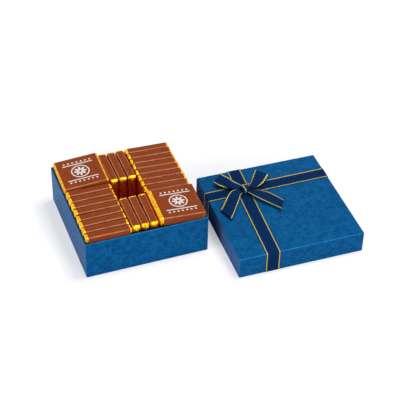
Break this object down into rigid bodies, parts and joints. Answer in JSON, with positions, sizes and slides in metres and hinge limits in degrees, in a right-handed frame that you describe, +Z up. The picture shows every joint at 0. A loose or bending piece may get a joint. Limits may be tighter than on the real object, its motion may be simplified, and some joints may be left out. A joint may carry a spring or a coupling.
{
  "type": "chocolate box",
  "caption": "Square lidded gift box, opened: a paper-covered tray packed with foil-wrapped chocolate squares on edge and flat, and its ribbon-tied lid with a bow beside it.",
  "frame": {"origin": "centre of the tray's underside, which stands on the table", "axes": "+Z up, +Y towards the back of the tray, +X from the tray towards the lid beside it"},
  "size_m": [0.2087, 0.1345, 0.0394],
  "materials": {
    "cover_paper": "satin",
    "greyboard": "matte",
    "ribbon": "satin",
    "gold_foil": "gloss",
    "sleeve_paper": "satin"
  },
  "bodies": {
    "tray": {"tray_board": "greyboard", "tray_cover": "cover_paper"},
    "lid": {"lid_board": "greyboard", "lid_cover": "cover_paper", "ribbon_long_band": "ribbon", "ribbon_cross_band": "ribbon", "bow_ribbon": "ribbon", "bow_knot": "ribbon"},
    "left_square_1": {"left_square_1_bar": "gold_foil", "left_square_1_sleeve": "sleeve_paper"},
    "left_square_2": {"left_square_2_bar": "gold_foil", "left_square_2_sleeve": "sleeve_paper"},
    "left_square_3": {"left_square_3_bar": "gold_foil", "left_square_3_sleeve": "sleeve_paper"},
    "left_square_4": {"left_square_4_bar": "gold_foil", "left_square_4_sleeve": "sleeve_paper"},
    "left_square_5": {"left_square_5_bar": "gold_foil", "left_square_5_sleeve": "sleeve_paper"},
    "left_square_6": {"left_square_6_bar": "gold_foil", "left_square_6_sleeve": "sleeve_paper"},
    "left_square_7": {"left_square_7_bar": "gold_foil", "left_square_7_sleeve": "sleeve_paper"},
    "left_square_8": {"left_square_8_bar": "gold_foil", "left_square_8_sleeve": "sleeve_paper"},
    "right_square_1": {"right_square_1_bar": "gold_foil", "right_square_1_sleeve": "sleeve_paper"},
    "right_square_2": {"right_square_2_bar": "gold_foil", "right_square_2_sleeve": "sleeve_paper"},
    "right_square_3": {"right_square_3_bar": "gold_foil", "right_square_3_sleeve": "sleeve_paper"},
    "right_square_4": {"right_square_4_bar": "gold_foil", "right_square_4_sleeve": "sleeve_paper"},
    "right_square_5": {"right_square_5_bar": "gold_foil", "right_square_5_sleeve": "sleeve_paper"},
    "right_square_6": {"right_square_6_bar": "gold_foil", "right_square_6_sleeve": "sleeve_paper"},
    "right_square_7": {"right_square_7_bar": "gold_foil", "right_square_7_sleeve": "sleeve_paper"},
    "right_square_8": {"right_square_8_bar": "gold_foil", "right_square_8_sleeve": "sleeve_paper"},
    "back_square_1": {"back_square_1_bar": "gold_foil", "back_square_1_sleeve": "sleeve_paper"},
    "back_square_2": {"back_square_2_bar": "gold_foil", "back_square_2_sleeve": "sleeve_paper"},
    "back_square_3": {"back_square_3_bar": "gold_foil", "back_square_3_sleeve": "sleeve_paper"},
    "front_square_1": {"front_square_1_bar": "gold_foil", "front_square_1_sleeve": "sleeve_paper"},
    "front_square_2": {"front_square_2_bar": "gold_foil", "front_square_2_sleeve": "sleeve_paper"},
    "front_square_3": {"front_square_3_bar": "gold_foil", "front_square_3_sleeve": "sleeve_paper"},
    "left_stack_lower": {"left_stack_lower_bars": "gold_foil", "left_stack_lower_sleeves": "sleeve_paper"},
    "left_stack_top": {"left_stack_top_bar": "gold_foil", "left_stack_top_sleeve": "sleeve_paper"},
    "right_stack_lower": {"right_stack_lower_bars": "gold_foil", "right_stack_lower_sleeves": "sleeve_paper"},
    "right_stack_top": {"right_stack_top_bar": "gold_foil", "right_stack_top_sleeve": "sleeve_paper"}
  },
  "joints": [
    {"name": "lid_lift", "type": "slide", "parent": "tray", "child": "lid", "axis": [0, 0, 1], "range_m": [0, 0.1]},
    {"name": "left_square_1_lift", "type": "slide", "parent": "tray", "child": "left_square_1", "axis": [0, 0, 1], "range_m": [0, 0.04]},
    {"name": "left_square_2_lift", "type": "slide", "parent": "tray", "child": "left_square_2", "axis": [0, 0, 1], "range_m": [0, 0.04]},
    {"name": "left_square_3_lift", "type": "slide", "parent": "tray", "child": "left_square_3", "axis": [0, 0, 1], "range_m": [0, 0.04]},
    {"name": "left_square_4_lift", "type": "slide", "parent": "tray", "child": "left_square_4", "axis": [0, 0, 1], "range_m": [0, 0.04]},
    {"name": "left_square_5_lift", "type": "slide", "parent": "tray", "child": "left_square_5", "axis": [0, 0, 1], "range_m": [0, 0.04]},
    {"name": "left_square_6_lift", "type": "slide", "parent": "tray", "child": "left_square_6", "axis": [0, 0, 1], "range_m": [0, 0.04]},
    {"name": "left_square_7_lift", "type": "slide", "parent": "tray", "child": "left_square_7", "axis": [0, 0, 1], "range_m": [0, 0.04]},
    {"name": "left_square_8_lift", "type": "slide", "parent": "tray", "child": "left_square_8", "axis": [0, 0, 1], "range_m": [0, 0.04]},
    {"name": "right_square_1_lift", "type": "slide", "parent": "tray", "child": "right_square_1", "axis": [0, 0, 1], "range_m": [0, 0.04]},
    {"name": "right_square_2_lift", "type": "slide", "parent": "tray", "child": "right_square_2", "axis": [0, 0, 1], "range_m": [0, 0.04]},
    {"name": "right_square_3_lift", "type": "slide", "parent": "tray", "child": "right_square_3", "axis": [0, 0, 1], "range_m": [0, 0.04]},
    {"name": "right_square_4_lift", "type": "slide", "parent": "tray", "child": "right_square_4", "axis": [0, 0, 1], "range_m": [0, 0.04]},
    {"name": "right_square_5_lift", "type": "slide", "parent": "tray", "child": "right_square_5", "axis": [0, 0, 1], "range_m": [0, 0.04]},
    {"name": "right_square_6_lift", "type": "slide", "parent": "tray", "child": "right_square_6", "axis": [0, 0, 1], "range_m": [0, 0.04]},
    {"name": "right_square_7_lift", "type": "slide", "parent": "tray", "child": "right_square_7", "axis": [0, 0, 1], "range_m": [0, 0.04]},
    {"name": "right_square_8_lift", "type": "slide", "parent": "tray", "child": "right_square_8", "axis": [0, 0, 1], "range_m": [0, 0.04]},
    {"name": "back_square_1_lift", "type": "slide", "parent": "tray", "child": "back_square_1", "axis": [0, 0, 1], "range_m": [0, 0.04]},
    {"name": "back_square_2_lift", "type": "slide", "parent": "tray", "child": "back_square_2", "axis": [0, 0, 1], "range_m": [0, 0.04]},
    {"name": "back_square_3_lift", "type": "slide", "parent": "tray", "child": "back_square_3", "axis": [0, 0, 1], "range_m": [0, 0.04]},
    {"name": "front_square_1_lift", "type": "slide", "parent": "tray", "child": "front_square_1", "axis": [0, 0, 1], "range_m": [0, 0.04]},
    {"name": "front_square_2_lift", "type": "slide", "parent": "tray", "child": "front_square_2", "axis": [0, 0, 1], "range_m": [0, 0.04]},
    {"name": "front_square_3_lift", "type": "slide", "parent": "tray", "child": "front_square_3", "axis": [0, 0, 1], "range_m": [0, 0.04]},
    {"name": "left_stack_lower_lift", "type": "slide", "parent": "tray", "child": "left_stack_lower", "axis": [0, 0, 1], "range_m": [0, 0.04]},
    {"name": "left_stack_top_lift", "type": "slide", "parent": "left_stack_lower", "child": "left_stack_top", "axis": [0, 0, 1], "range_m": [0, 0.02]},
    {"name": "right_stack_lower_lift", "type": "slide", "parent": "tray", "child": "right_stack_lower", "axis": [0, 0, 1], "range_m": [0, 0.04]},
    {"name": "right_stack_top_lift", "type": "slide", "parent": "right_stack_lower", "child": "right_stack_top", "axis": [0, 0, 1], "range_m": [0, 0.02]}
  ]
}
